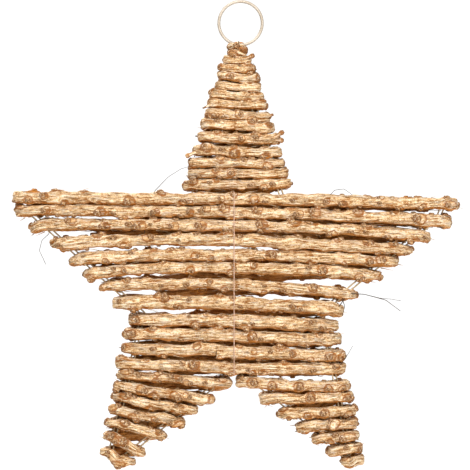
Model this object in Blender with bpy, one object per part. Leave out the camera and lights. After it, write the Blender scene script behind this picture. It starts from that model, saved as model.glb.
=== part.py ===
"""Star ornament: knotty gilded vine wound in rows round a star of wire, hung from a brass ring.

The star hangs in the XZ plane and is seen from -Y. The origin is the inside top of the hanging
ring, where a nail or hook bears. Lengths below are in millimetres and become metres through MM.
"""
import math
import random

import bpy
import numpy as np
from mathutils import Vector

MM = 0.001

# Hanging ring: round wire, its inside top at the origin.
RING_BORE_RADIUS = 13.1
RING_WIRE_RADIUS = 1.0
RING_POINTS = 40

# Star of wire: corner points (x, z) of the outer star, clockwise as seen from the front. The tips
# of the two arms are blunt, so each has an upper and a lower corner, and so is the left foot.
NECK_LEFT = (-4.4, -33.5)
NECK_RIGHT = (0.4, -33.5)
SHOULDER_RIGHT = (28.6, -127.8)
ARM_TIP_RIGHT = (133.8, -129.8)
ARM_HEEL_RIGHT = (129.6, -139.6)
HIP_RIGHT = (53.9, -201.0)
FOOT_RIGHT = (73.0, -296.8)
CROTCH = (-2.6, -238.6)
TOE_LEFT = (-77.0, -297.6)
FOOT_LEFT = (-87.0, -296.8)
HIP_LEFT = (-64.4, -202.3)
ARM_HEEL_LEFT = (-136.6, -137.8)
ARM_TIP_LEFT = (-139.8, -127.4)
SHOULDER_LEFT = (-32.4, -126.8)
FRAME_WIRE_RADIUS = 0.6
FRAME_CORNER_RADIUS = 2.5
FRAME_WIRES_APART = 2.3
CORNER_POINTS = 4
CORNER_REACH = 0.4
INNER_TOP_RISE = 2.0

# The eye at the top of the outer star, a half turn of its wire through the ring.
EYE_RADIUS = 1.95
EYE_SHIFT = -1.4
EYE_WIDTH = 1.8
EYE_POINTS = 7

# Winding: the vine's front and back runs lie either side of a slot that holds the frame wires.
# DROOP is how far a bend turns from level, 0, to square with the frame's wire, 1. A vine is drawn
# in where it bends, and lies nearer the frame's wire by HUG of that.
SLOT_HALF = 1.8
CLEARANCE = 0.3
SLACK = 0.6
HUG = 0.6
DROOP = (0.05, 0.40)
WOBBLE = 0.35
FRONT_POINT_SPACING = 42.0
BACK_POINT_SPACING = 31.0
END_GAP = 1.2
END_DROOP = 0.5
LEAD_IN = 14.0
LEAD_IN_SHARE = 0.1
NARROW_ROW = 16.0
TAIL = 6.0
SAME_BEND = 14.0
WANDER_SEED = 11

# A back run steps down over STEP_LENGTH, or STEP_SHARE of a narrow row. Across the stretch of gap
# that it covers it slants between these shares of the way down to the next row, and before that it
# hangs PEEK of the way down, so that it peeps out under its own row.
STEP_LENGTH = 26.0
STEP_SHARE = 0.5
PEEK = 0.15
SLANT_TOP = 0.28
SLANT_FOOT = 0.72
LAST_POINT_APART = 0.04

# Rows from the top down. Each is (left end, middle, right end, cover from, cover to): the depths of
# its front run below the origin, and the stretch of the gap under it, from left 0 to right 1, that
# its back run covers. Outside that stretch the gap is open. CONE_FOOT has only depths: the cone's
# last back run ends there, behind the top row of the arms.
CONE_UPPER_ROWS = (
    (37.0, 37.1, 37.2, 0.0, 1.0),
    (42.3, 42.6, 43.1, 0.0, 1.0),
    (47.8, 48.4, 49.2, 0.0, 1.0),
    (54.0, 54.7, 55.6, 0.0, 1.0),
    (59.7, 60.4, 61.3, 0.0, 1.0),
    (65.4, 66.0, 66.9, 0.0, 1.0),
    (72.0, 73.3, 74.5, 0.0, 1.0),
)
CONE_LOWER_ROWS = (
    (79.0, 79.8, 80.9, 0.0, 0.85),
    (87.2, 88.1, 89.1, 0.0, 1.0),
    (96.1, 96.9, 97.4, 0.0, 1.0),
    (104.3, 104.5, 104.6, 0.0, 1.0),
    (111.4, 111.2, 110.9, 0.0, 1.0),
    (118.6, 118.1, 117.5, 0.0, 0.75),
)
CONE_FOOT = (125.0, 125.6, 126.2)
ARMS_UPPER_ROWS = (
    (126.9, 127.8, 130.4, 0.0, 0.72),
    (135.2, 136.4, 141.2, 0.27, 0.78),
    (144.5, 144.9, 151.0, 0.0, 1.0),
)
ARMS_LOWER_ROWS = (
    (156.1, 154.3, 160.5, 0.70, 0.78),
    (166.2, 163.7, 168.0, 0.02, 0.98),
    (175.2, 171.7, 176.4, 0.20, 0.75),
    (183.7, 182.7, 189.0, 0.10, 0.56),
)
WAIST_ROWS = (
    (194.2, 195.2, 198.0, 0.32, 1.0),
    (205.7, 206.8, 209.8, 0.06, 0.77),
    (215.3, 216.4, 218.9, 0.0, 0.75),
    (224.4, 226.4, 229.2, 0.10, 1.0),
)
HIPS_ROWS = (
    (224.4, 226.4, 229.2, 0.10, 1.0),
    (234.2, 236.8, 237.5, 0.08, 0.38),
)
LEG_LEFT_ROWS = (
    (241.4, 244.2, 247.6, 0.0, 0.65),
    (248.9, 253.0, 257.2, 0.0, 1.0),
    (256.4, 260.4, 264.2, 0.22, 1.0),
    (265.0, 268.1, 271.4, 0.0, 1.0),
    (273.4, 276.2, 280.2, 0.0, 1.0),
    (281.8, 286.2, 290.6, 0.0, 1.0),
    (291.6, 297.2, 297.2, 0.0, 1.0),
)
LEG_RIGHT_ROWS = (
    (245.8, 248.6, 248.6, 0.0, 0.76),
    (256.8, 257.4, 256.0, 0.0, 0.80),
    (265.8, 265.9, 265.2, 0.0, 0.90),
    (274.6, 274.2, 273.4, 0.0, 1.0),
    (282.4, 282.0, 281.2, 0.0, 1.0),
    (290.2, 289.8, 288.9, 0.0, 1.0),
    (298.2, 298.0, 297.0, 0.0, 1.0),
)

# The sides that a group of rows is wound over, each from its top corner down.
CONE_SIDES = ((NECK_LEFT, SHOULDER_LEFT), (NECK_RIGHT, SHOULDER_RIGHT))
BODY_SIDES = ((ARM_TIP_LEFT, ARM_HEEL_LEFT, HIP_LEFT, FOOT_LEFT),
              (ARM_TIP_RIGHT, ARM_HEEL_RIGHT, HIP_RIGHT, FOOT_RIGHT))
LEG_LEFT_SIDES = ((HIP_LEFT, FOOT_LEFT), (CROTCH, TOE_LEFT))
LEG_RIGHT_SIDES = ((CROTCH, FOOT_RIGHT), (HIP_RIGHT, FOOT_RIGHT))

# Each vine: its rows, its two sides, its radius at its first and last row, and the share of that
# radius left at its bends.
VINES = {
    "vine_cone_upper": (CONE_UPPER_ROWS, CONE_SIDES, 2.4, 3.1, 1.0),
    "vine_cone_lower": (CONE_LOWER_ROWS, CONE_SIDES, 3.3, 3.3, 1.0),
    "vine_arms_upper": (ARMS_UPPER_ROWS, BODY_SIDES, 3.75, 3.65, 0.95),
    "vine_arms_lower": (ARMS_LOWER_ROWS, BODY_SIDES, 4.1, 3.6, 0.55),
    "vine_waist": (WAIST_ROWS, BODY_SIDES, 4.4, 3.8, 0.80),
    "vine_hips": (HIPS_ROWS, BODY_SIDES, 4.1, 3.8, 0.85),
    "vine_leg_left": (LEG_LEFT_ROWS, LEG_LEFT_SIDES, 3.5, 3.4, 0.64),
    "vine_leg_right": (LEG_RIGHT_ROWS, LEG_RIGHT_SIDES, 3.6, 3.4, 0.90),
}

# The waist's vine ends in front, tucked against the cut butt end of the hips' vine.
WAIST_CUT_X = -16.0
WAIST_END_RADIUS = 4.0
HIPS_CUT_X = -15.4
HIPS_BUTT_RADIUS = 4.9

# Short twig wound nearly twice round the neck of the frame, in front of the foot of the ring. It
# is an ellipse seen from above, going down as it turns and lifted where it passes in front.
TIE_CENTRE_X = -2.2
TIE_HALF_WIDTH = 5.0
TIE_HALF_DEPTH = 5.7
TIE_FIRST_DEPTH = 28.9
TIE_PITCH = 3.9
TIE_FRONT_LIFT = 1.9
TIE_START = -0.36
TIE_END = 1.44
TIE_THIN_RADIUS = 1.6
TIE_THICK_RADIUS = 1.82
TIE_POINTS = 22

# Binding wire down the middle of the star, in front of the rows and back up behind them.
BINDING_X = -4.2
BINDING_TOP_DEPTH = 122.2
BINDING_FOOT_DEPTH = 241.6
BINDING_RADIUS = 0.35
BINDING_GAP = 0.5
BINDING_END = 1.4


def material(name, colour, roughness, metallic):
    """A Principled material of one colour."""
    made = bpy.data.materials.new(name)
    made.use_nodes = True
    shader = made.node_tree.nodes["Principled BSDF"]
    shader.inputs["Base Color"].default_value = (*colour, 1.0)
    shader.inputs["Roughness"].default_value = roughness
    shader.inputs["Metallic"].default_value = metallic
    return made


def tube(name, points, radii, closed, sides_level, finish, collection):
    """A round tube along points (millimetres), its radius following radii."""
    curve = bpy.data.curves.new(name, "CURVE")
    curve.dimensions = "3D"
    curve.bevel_depth = MM
    curve.bevel_resolution = sides_level
    curve.use_fill_caps = True
    spline = curve.splines.new("POLY")
    spline.points.add(len(points) - 1)
    for knot, point, radius in zip(spline.points, points, radii):
        knot.co = (*(Vector(point) * MM), 1.0)
        knot.radius = radius
    spline.use_cyclic_u = closed
    curve.materials.append(finish)
    made = bpy.data.objects.new(name, curve)
    collection.objects.link(made)
    return made


def lerp(start, end, share):
    return start + (end - start) * share


def smooth_step(value):
    value = min(max(value, 0.0), 1.0)
    return value * value * (3.0 - 2.0 * value)


def row_depth(row, share):
    """Depth of a row's front run at a share of its width: a parabola through its three depths."""
    left, middle, right = row[:3]
    bend = 2.0 * (left + right - 2.0 * middle)
    return left + (4.0 * middle - 3.0 * left - right) * share + bend * share * share


def side_point(side, depth, outward):
    """Where a side's wire is at a depth, and its outward normal (x, z) there."""
    if -depth >= side[0][1]:
        return (side[0][0], -depth), (outward, 0.0)
    if -depth <= side[-1][1]:
        return (side[-1][0], -depth), (outward, 0.0)
    for upper, lower in zip(side, side[1:]):
        if -depth >= lower[1]:
            break
    share = (upper[1] + depth) / (upper[1] - lower[1])
    run = Vector((lower[0] - upper[0], lower[1] - upper[1])).normalized()
    normal = (-run.y, run.x) if -run.y * outward > 0 else (run.y, -run.x)
    return (lerp(upper[0], lower[0], share), lerp(upper[1], lower[1], share)), normal


def bend_points(side, depth, outward, radius, bend_share, slack, droop):
    """Points of a row's bend round a side of the frame, from the front run to the back run."""
    wire, normal = side_point(side, depth, outward)
    heading = Vector((outward, 0.0)).lerp(Vector(normal), droop).normalized()
    reach = SLOT_HALF + radius
    clear = radius * lerp(1.0, bend_share, HUG) + FRAME_WIRE_RADIUS + CLEARANCE + slack
    inset = clear / heading.dot(Vector(normal)) - reach
    points = []
    for degrees in (-90, -45, 0, 45, 90):
        angle = math.radians(degrees)
        place = Vector(wire) + heading * (inset + reach * math.cos(angle))
        points.append(Vector((place.x, reach * math.sin(angle), place.y)))
    return points


def with_radius(points, radius):
    return [(point, radius) for point in points]


def row_bends(rows, sides, radii, bend_share, wander):
    """The left and right bends of each row."""
    bends = []
    for side, end, outward in ((sides[0], 0, -1.0), (sides[1], 2, 1.0)):
        bends.append([bend_points(side, row[end], outward, radius, bend_share,
                                  wander.uniform(0.0, SLACK), wander.uniform(*DROOP))
                      for row, radius in zip(rows, radii)])
    return bends


def drawn_in(path, bend_share):
    """The path with its radius drawn in where it passes from the front of the frame to the back."""
    narrowed = []
    for point, radius in path:
        across = min(abs(point.y) / (SLOT_HALF + radius), 1.0)
        turned = math.sqrt(1.0 - across * across)
        narrowed.append((point, radius * lerp(1.0, bend_share, turned)))
    return narrowed


def vine_path(rows, sides, first_radius, last_radius, bend_share, below, wander):
    """Centre line and radii of a vine wound over rows, each row's front run left to right.

    below is the row that the last back run steps down to, or None where the vine just ends.
    """
    radii = [lerp(first_radius, last_radius, i / max(len(rows) - 1, 1)) for i in range(len(rows))]
    lefts, rights = row_bends(rows, sides, radii, bend_share, wander)
    path = []
    if rights[0][0].x - lefts[0][0].x < NARROW_ROW:
        lefts[0] = lefts[0][:3]
    else:
        path.append((lefts[0][-1] + Vector((lead_in(lefts[0], rights[0]), 0.0, 0.0)), radii[0]))
    for i, (row, radius) in enumerate(zip(rows, radii)):
        path += with_radius(reversed(lefts[i]), radius)
        path += with_radius(front_run(row, lefts[i][0], rights[i][0], radius, wander), radius)
        if i + 1 < len(rows):
            path += with_radius(rights[i], radius)
            path += back_run(row, rows[i + 1], rights[i][-1], lefts[i + 1][-1], (radius, radii[i + 1]), 0.0)
    path += last_turn(rows[-1], lefts[-1], rights[-1], radii[-1], sides[0], below)
    return drawn_in(path, bend_share)


def last_turn(row, left, right, radius, left_side, below):
    """The end of a vine after its last front run."""
    if right[0].x - left[0].x < NARROW_ROW:
        return with_radius(right[:3], radius)
    if not below:
        return with_radius(right + [right[-1] - Vector((TAIL, 0.0, 0.0))], radius)
    end = bend_points(left_side, below[0], -1.0, radius, 1.0, 0.0, END_DROOP)[-1]
    stop = (lead_in([end], [right[-1]]) + END_GAP + radius) / (right[-1].x - end.x)
    return with_radius(right, radius) + back_run(row, below, right[-1], end, (radius, radius), stop)


def lead_in(left, right):
    """Length of a vine's first end behind its first row."""
    return min(LEAD_IN, LEAD_IN_SHARE * (right[0].x - left[0].x))


def front_run(row, start, end, radius, wander):
    """Points between a row's two bends, in front of the frame."""
    count = max(1, round((end.x - start.x) / FRONT_POINT_SPACING))
    points = []
    for i in range(1, count + 1):
        share = i / (count + 1)
        depth = row_depth(row, share) + wander.uniform(-WOBBLE, WOBBLE)
        out = SLOT_HALF + radius + wander.uniform(0.0, WOBBLE)
        points.append(Vector((lerp(start.x, end.x, share), -out, -depth)))
    return points


def way_down(row, share, step):
    """How far a back run has come from its own row, 0, to the next, 1, at a share of the width."""
    cover_from = max(row[3], step / 2.0)
    cover_to = min(row[4], 1.0 - step / 2.0)
    off_own_row = smooth_step((cover_to - share) / step + 0.5)
    onto_next = smooth_step((cover_from - share) / step + 0.5)
    across = (cover_to - share) / max(cover_to - cover_from, step)
    slant = lerp(SLANT_TOP, SLANT_FOOT, min(max(across, 0.0), 1.0))
    return lerp(lerp(PEEK, slant, off_own_row), 1.0, onto_next)


def back_run(row, next_row, start, end, radii, stop):
    """Points and radii of a back run from a row's right bend to the next row's left bend.

    stop is the share of the width at which it is cut short, or 0.
    """
    width = start.x - end.x
    step = min(STEP_LENGTH / width, STEP_SHARE)
    count = max(1, round(width / BACK_POINT_SPACING))
    shares = [1.0 - i / (count + 1) for i in range(1, count + 1)]
    if stop:
        shares = [share for share in shares if share > stop + LAST_POINT_APART] + [stop]
    run = []
    for share in shares:
        depth = lerp(row_depth(row, share), row_depth(next_row, share), way_down(row, share, step))
        radius = lerp(radii[1], radii[0], share)
        run.append((Vector((lerp(end.x, start.x, share), SLOT_HALF + radius, -depth)), radius))
    return run


def cut_in_front(path, cut_x, keep_right, butt_radius):
    """Cut a vine at cut_x on its first or last front run, with butt_radius at the cut end."""
    if keep_right:
        index = next(i for i, (point, _) in enumerate(path) if point.y < 0.0 and point.x > cut_x)
        kept = path[index:]
        beside, cut = kept[0][0], 0
    else:
        last = max(i for i, (point, _) in enumerate(path) if point.y < -SLOT_HALF and point.x < cut_x)
        kept = path[:last + 1]
        beside, cut = kept[-1][0], len(kept)
    kept.insert(cut, (Vector((cut_x, beside.y, beside.z)), butt_radius))
    return kept


def tie_path():
    """The tie: from behind, round in front twice, starting each time from the left."""
    path = []
    for i in range(TIE_POINTS):
        turns = lerp(TIE_START, TIE_END, i / (TIE_POINTS - 1))
        angle = 2.0 * math.pi * turns
        in_front = max(math.sin(angle), 0.0)
        depth = TIE_FIRST_DEPTH + TIE_PITCH * turns - TIE_FRONT_LIFT * in_front
        x = TIE_CENTRE_X - TIE_HALF_WIDTH * math.cos(angle)
        point = Vector((x, -TIE_HALF_DEPTH * math.sin(angle), -depth))
        path.append((point, lerp(TIE_THIN_RADIUS, TIE_THICK_RADIUS, in_front)))
    return path


def ease_crowding(paths):
    """Thin each vine where it lies against another run, so that neighbours keep a small gap."""
    starts, ends, start_radii, end_radii, owners, lengths = [], [], [], [], [], []
    for owner, path in enumerate(paths):
        run = 0.0
        for (start, start_radius), (end, end_radius) in zip(path, path[1:]):
            starts.append(start)
            ends.append(end)
            start_radii.append(start_radius)
            end_radii.append(end_radius)
            owners.append(owner)
            lengths.append(run)
            run += (end - start).length
    starts, ends = np.array(starts), np.array(ends)
    start_radii, end_radii = np.array(start_radii), np.array(end_radii)
    owners, lengths = np.array(owners), np.array(lengths)
    along = ends - starts
    square = (along ** 2).sum(axis=1)
    spans = np.sqrt(square)
    eased = []
    for owner, path in enumerate(paths):
        run = 0.0
        thinned = []
        for i, (point, radius) in enumerate(path):
            if i:
                run += (point - path[i - 1][0]).length
            share = np.clip(((np.array(point) - starts) * along).sum(axis=1) / square, 0.0, 1.0)
            nearest = starts + along * share[:, None]
            distance = np.linalg.norm(np.array(point) - nearest, axis=1)
            other_radius = start_radii + (end_radii - start_radii) * share
            apart = np.abs(lengths + spans * share - run)
            other = (owners != owner) | (apart > SAME_BEND)
            room = (distance[other] - CLEARANCE) / (radius + other_radius[other])
            thinned.append((point, radius * min(1.0, float(room.min()))))
        eased.append(thinned)
    return eased


def offset_corners(corners, inward):
    """The corners of a clockwise polygon moved inward by a distance."""
    moved = []
    for i, corner in enumerate(corners):
        before = (Vector(corner) - Vector(corners[i - 1])).normalized()
        after = (Vector(corners[(i + 1) % len(corners)]) - Vector(corner)).normalized()
        inside_before = Vector((before.y, -before.x))
        inside_after = Vector((after.y, -after.x))
        mitre = inside_before + inside_after
        moved.append(Vector(corner) + mitre * (inward / (1.0 + inside_before.dot(inside_after))))
    return moved


def rounded(corners, radius):
    """A closed polygon with each corner bent to a radius, as points (x, z)."""
    points = []
    for i, corner in enumerate(corners):
        before = Vector(corners[i - 1]) - Vector(corner)
        after = Vector(corners[(i + 1) % len(corners)]) - Vector(corner)
        half_angle = before.angle(after) / 2.0
        shorter = min(before.length, after.length)
        back = min(radius / math.tan(half_angle), shorter * CORNER_REACH)
        start = Vector(corner) + before.normalized() * back
        end = Vector(corner) + after.normalized() * back
        for j in range(CORNER_POINTS):
            share = j / (CORNER_POINTS - 1)
            points.append(start.lerp(Vector(corner), share).lerp(Vector(corner).lerp(end, share), share))
    return points


def outer_frame_points():
    """The outer star: rounded corners, and an eye at the top that passes through the ring."""
    body = [SHOULDER_RIGHT, ARM_TIP_RIGHT, ARM_HEEL_RIGHT, HIP_RIGHT, FOOT_RIGHT, CROTCH,
            TOE_LEFT, FOOT_LEFT, HIP_LEFT, ARM_HEEL_LEFT, ARM_TIP_LEFT, SHOULDER_LEFT]
    corners = [NECK_RIGHT] + body + [NECK_LEFT]
    flat = [Vector((point.x, 0.0, point.y)) for point in rounded(corners, FRAME_CORNER_RADIUS)]
    first = CORNER_POINTS - 1
    flat = flat[first:len(flat) - first]
    eye_z = -RING_BORE_RADIUS - math.sqrt((RING_BORE_RADIUS + RING_WIRE_RADIUS) ** 2 - EYE_SHIFT ** 2)
    eye = []
    for i in range(EYE_POINTS):
        angle = math.pi * i / (EYE_POINTS - 1)
        x = EYE_SHIFT + EYE_WIDTH * (i / (EYE_POINTS - 1) - 0.5)
        eye.append(Vector((x, -EYE_RADIUS * math.cos(angle), eye_z + EYE_RADIUS * math.sin(angle))))
    return flat + eye


def inner_frame_points():
    """The inner star, a wire's distance inside the outer one, with a plain top corner."""
    top = Vector(NECK_LEFT).lerp(Vector(NECK_RIGHT), 0.5) + Vector((0.0, INNER_TOP_RISE))
    corners = [top, SHOULDER_RIGHT, ARM_TIP_RIGHT, ARM_HEEL_RIGHT, HIP_RIGHT, FOOT_RIGHT, CROTCH,
               TOE_LEFT, FOOT_LEFT, HIP_LEFT, ARM_HEEL_LEFT, ARM_TIP_LEFT, SHOULDER_LEFT]
    inner = rounded(offset_corners(corners, FRAME_WIRES_APART), FRAME_CORNER_RADIUS)
    return [Vector((point.x, 0.0, point.y)) for point in inner]


def runs_crossed(paths, facing):
    """Centre (y, z) and clear radius of each run that the binding wire crosses, from the top down.

    facing is -1 for the front runs and 1 for the back runs.
    """
    crossed = []
    for path in paths:
        for (start, start_radius), (end, end_radius) in zip(path, path[1:]):
            if (start.x - BINDING_X) * (end.x - BINDING_X) > 0.0 or start.x == end.x:
                continue
            share = (BINDING_X - start.x) / (end.x - start.x)
            point = start.lerp(end, share)
            if point.y * facing > 0.0 and BINDING_TOP_DEPTH < -point.z < BINDING_FOOT_DEPTH:
                clear = lerp(start_radius, end_radius, share) + BINDING_RADIUS + BINDING_GAP
                crossed.append((point, clear))
    return sorted(crossed, key=lambda item: -item[0].z)


def around(run, facing, degrees):
    """A point of the binding wire beside a run, at an angle above its outermost line."""
    centre, clear = run
    angle = math.radians(degrees)
    return Vector((BINDING_X, centre.y + facing * clear * math.cos(angle),
                   centre.z + clear * math.sin(angle)))


def binding_points(paths):
    """The binding wire: down over the front runs, under the lowest, and up behind the back runs."""
    front, back = runs_crossed(paths, -1.0), runs_crossed(paths, 1.0)
    top_front, top_back = around(front[0], -1.0, 90), around(back[0], 1.0, 90)
    points = [Vector((BINDING_X, -BINDING_END, top_front.z)), top_front, around(front[0], -1.0, 45)]
    points += [around(run, -1.0, 0) for run in front]
    points += [around(front[-1], -1.0, -45), around(front[-1], -1.0, -90)]
    points.append(Vector((BINDING_X, 0.0, -BINDING_FOOT_DEPTH)))
    points += [around(back[-1], 1.0, -90), around(back[-1], 1.0, -45)]
    points += [around(run, 1.0, 0) for run in reversed(back)]
    points += [around(back[0], 1.0, 45), top_back, Vector((BINDING_X, BINDING_END, top_back.z))]
    return points


def ring(finish, collection):
    """The hanging ring, upright in the star's plane."""
    radius = RING_BORE_RADIUS + RING_WIRE_RADIUS
    points = []
    for i in range(RING_POINTS):
        angle = 2.0 * math.pi * i / RING_POINTS
        points.append((radius * math.sin(angle), 0.0, -RING_BORE_RADIUS + radius * math.cos(angle)))
    radii = [RING_WIRE_RADIUS] * RING_POINTS
    return tube("hanging_ring", points, radii, True, 2, finish, collection)


def frame(finish, collection):
    """Both stars of wire."""
    for name, points in (("frame_wire_outer", outer_frame_points()),
                         ("frame_wire_inner", inner_frame_points())):
        tube(name, points, [FRAME_WIRE_RADIUS] * len(points), True, 1, finish, collection)


def winding(finish, collection):
    """All the vines, thinned where they crowd each other, but not the tie and the two ends that
    meet flat in front. Returns their centre lines."""
    wander = random.Random(WANDER_SEED)
    following = {"vine_cone_upper": CONE_LOWER_ROWS[0], "vine_cone_lower": CONE_FOOT,
                 "vine_arms_upper": ARMS_LOWER_ROWS[0], "vine_arms_lower": WAIST_ROWS[0],
                 "vine_hips": LEG_LEFT_ROWS[0]}
    paths = {"vine_tie": tie_path()}
    for name, (rows, sides, first_radius, last_radius, bend_share) in VINES.items():
        paths[name] = vine_path(rows, sides, first_radius, last_radius, bend_share,
                                following.get(name), wander)
    paths["vine_waist"] = cut_in_front(paths["vine_waist"], WAIST_CUT_X, False, WAIST_END_RADIUS)
    paths["vine_hips"] = cut_in_front(paths["vine_hips"], HIPS_CUT_X, True, HIPS_BUTT_RADIUS)
    eased = dict(zip(paths, ease_crowding(list(paths.values()))))
    eased["vine_tie"] = paths["vine_tie"]
    eased["vine_waist"][-1] = paths["vine_waist"][-1]
    eased["vine_hips"][0] = paths["vine_hips"][0]
    for name, path in eased.items():
        tube(name, [point for point, _ in path], [radius for _, radius in path], False, 1, finish,
             collection)
    return list(eased.values())


def clear_scene():
    for item in list(bpy.data.objects):
        bpy.data.objects.remove(item, do_unlink=True)


def build():
    clear_scene()
    collection = bpy.data.collections.new("star_ornament")
    bpy.context.scene.collection.children.link(collection)
    brass = material("ring_brass", (0.80, 0.62, 0.33), 0.25, 1.0)
    gold_wire = material("gold_wire", (0.78, 0.60, 0.34), 0.35, 1.0)
    thin_wire = material("binding_wire_finish", (0.86, 0.68, 0.52), 0.40, 1.0)
    gilded_vine = material("gilded_vine", (0.60, 0.38, 0.19), 0.45, 0.35)
    ring(brass, collection)
    frame(gold_wire, collection)
    paths = winding(gilded_vine, collection)
    points = binding_points(paths)
    tube("binding_wire", points, [BINDING_RADIUS] * len(points), False, 1, thin_wire, collection)


build()
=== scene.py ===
"""Star ornament: knotty gilded vine wound in rows round a star of wire, hung from a brass ring.

Lengths are in metres in the ornament's own frame: the star hangs in the XZ plane and faces -Y,
and the origin is the inside top of the ring, where a hook bears.
"""

import math

import bmesh
import bpy
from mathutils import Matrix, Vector
from mathutils.bvhtree import BVHTree


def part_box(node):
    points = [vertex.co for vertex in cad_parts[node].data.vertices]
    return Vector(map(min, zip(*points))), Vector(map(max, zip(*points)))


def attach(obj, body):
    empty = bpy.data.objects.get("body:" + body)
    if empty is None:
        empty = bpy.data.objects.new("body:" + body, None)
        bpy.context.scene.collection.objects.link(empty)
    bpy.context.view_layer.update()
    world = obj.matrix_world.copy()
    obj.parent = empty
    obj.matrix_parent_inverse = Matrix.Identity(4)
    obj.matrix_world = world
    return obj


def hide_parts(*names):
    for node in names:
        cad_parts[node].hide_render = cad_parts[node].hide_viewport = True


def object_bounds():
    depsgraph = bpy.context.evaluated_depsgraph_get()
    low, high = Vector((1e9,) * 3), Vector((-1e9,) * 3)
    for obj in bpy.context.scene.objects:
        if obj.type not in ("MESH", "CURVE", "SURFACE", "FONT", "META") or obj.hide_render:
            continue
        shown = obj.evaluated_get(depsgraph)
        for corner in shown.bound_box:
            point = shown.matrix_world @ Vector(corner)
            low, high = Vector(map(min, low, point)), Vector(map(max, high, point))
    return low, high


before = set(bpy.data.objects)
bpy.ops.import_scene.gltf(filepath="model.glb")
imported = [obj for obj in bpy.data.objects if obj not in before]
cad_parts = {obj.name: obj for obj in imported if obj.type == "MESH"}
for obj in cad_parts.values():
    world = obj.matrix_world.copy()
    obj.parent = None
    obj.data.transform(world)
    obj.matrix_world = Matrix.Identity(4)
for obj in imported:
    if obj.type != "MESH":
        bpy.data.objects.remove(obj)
cad_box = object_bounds()

# -----------------------------------------------------------------------------
# The wound vines. Rods of a knotty climbing vine, 5 to 9 mm thick, wound soft in rows round the
# wire star, front and back, and sprayed pale gold once dry. The bark has dried into lengthwise
# fibres, and a round bud scar stands out every centimetre or so.

VINE_NODES = ("vine_tie", "vine_cone_upper", "vine_cone_lower", "vine_arms_upper",
              "vine_arms_lower", "vine_waist", "vine_hips", "vine_leg_left", "vine_leg_right")
MM = 0.001
TURN = 2.0 * math.pi

# What the vines' node tree is given for every vine: lengths in metres, the number of sides round
# a vine, and by what share its girth changes
VINE_SIZES = {
    "Softening step": 0.00125,
    "Ring spacing": 0.00064,
    "Sides": 28,
    "Wander": 0.0013,
    "Girth change": 0.34,
    "Fibre height": 0.00056,
    "Furrow depth": 0.00044,
    "Lump height": 0.0013,
    "Bud spacing": 0.0155,
    "Swelling": 0.0010,
    "Sliver spacing": 0.0052,
}
# Girth of each vine's front runs and of its back runs, in shares of the CAD's
GIRTH_SHARES = {"vine_tie": (1.00, 1.00), "vine_cone_upper": (1.04, 1.15),
                "vine_cone_lower": (1.00, 1.15), "vine_arms_upper": (1.04, 1.10),
                "vine_arms_lower": (0.96, 1.15), "vine_waist": (1.0, 1.15),
                "vine_hips": (0.95, 1.25), "vine_leg_left": (0.90, 1.30),
                "vine_leg_right": (0.96, 1.20)}
# How far from the star's plane the middle of a run lies
RUN_DEPTH = 0.0045


def socket_at(sockets, key):
    """The socket with that identifier, or at that place where key is a number."""
    if isinstance(key, int):
        return sockets[key]
    return next(socket for socket in sockets if socket.identifier == key)


class Wire:
    """A node's output that takes part in sums: each operator adds a Math node to its tree."""

    def __init__(self, tree, made, output=0):
        self.tree = tree
        self.made = made
        self.socket = socket_at(made.outputs, output) if made.outputs else None

    def node(self, kind, settings=None, inputs=None, output=0):
        """A node of any kind. Its settings come first, then its sockets' values or links."""
        made = self.tree.nodes.new(kind)
        for name, value in (settings or {}).items():
            setattr(made, name, value)
        for key, value in (inputs or {}).items():
            target = socket_at(made.inputs, key)
            if isinstance(value, Wire):
                self.tree.links.new(value.socket, target)
            elif isinstance(value, list):
                for each in value:
                    self.tree.links.new(each.socket, target)
            else:
                target.default_value = value
        return Wire(self.tree, made, output)

    def out(self, output):
        """Another output of the same node."""
        return Wire(self.tree, self.made, output)

    def maths(self, operation, *values):
        return self.node("ShaderNodeMath", {"operation": operation}, dict(enumerate(values)))

    def __add__(self, other):
        return self.maths("ADD", self, other)

    def __sub__(self, other):
        return self.maths("SUBTRACT", self, other)

    def __rsub__(self, other):
        return self.maths("SUBTRACT", other, self)

    def __mul__(self, other):
        return self.maths("MULTIPLY", self, other)

    def __truediv__(self, other):
        return self.maths("DIVIDE", self, other)

    def __pow__(self, other):
        return self.maths("POWER", self, other)

    __radd__ = __add__
    __rmul__ = __mul__

    def step(self, start, end, low=0.0, high=1.0):
        """A smooth step from low to high as the value goes from start to end."""
        limits = {"Value": self, "From Min": start, "From Max": end, "To Min": low, "To Max": high}
        return self.node("ShaderNodeMapRange", {"interpolation_type": "SMOOTHSTEP"}, limits)

    def noise(self, place, scale, detail=2.0, roughness=0.5):
        """Soft noise from 0 to 1 at a place."""
        return self.node("ShaderNodeTexNoise", {}, {
            "Vector": place, "Scale": scale, "Detail": detail, "Roughness": roughness})

    def lines(self, place, scale, width, detail=1.0):
        """0 along thin wandering lines and 1 between them."""
        away = self.noise(place, scale, detail) - 0.5
        return self.maths("ABSOLUTE", away).step(0.0, width)

    def vector(self, x, y, z):
        return self.node("ShaderNodeCombineXYZ", {}, {"X": x, "Y": y, "Z": z})

    def vector_maths(self, operation, *values):
        inputs = dict(zip(("Vector", "Vector_001"), values))
        return self.node("ShaderNodeVectorMath", {"operation": operation}, inputs)

    def scaled(self, factor):
        """A vector made longer or shorter."""
        inputs = {"Vector": self, "Scale": factor}
        return self.node("ShaderNodeVectorMath", {"operation": "SCALE"}, inputs)

    def part(self, axis):
        """The X, Y or Z of a vector."""
        return self.node("ShaderNodeSeparateXYZ", {}, {"Vector": self}, axis)

    def blend(self, factor, first, second):
        """From the first colour to the second as factor goes from 0 to 1."""
        return self.node("ShaderNodeMix", {"data_type": "RGBA"}, {
            "Factor_Float": factor, "A_Color": first, "B_Color": second}, "Result_Color")


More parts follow.
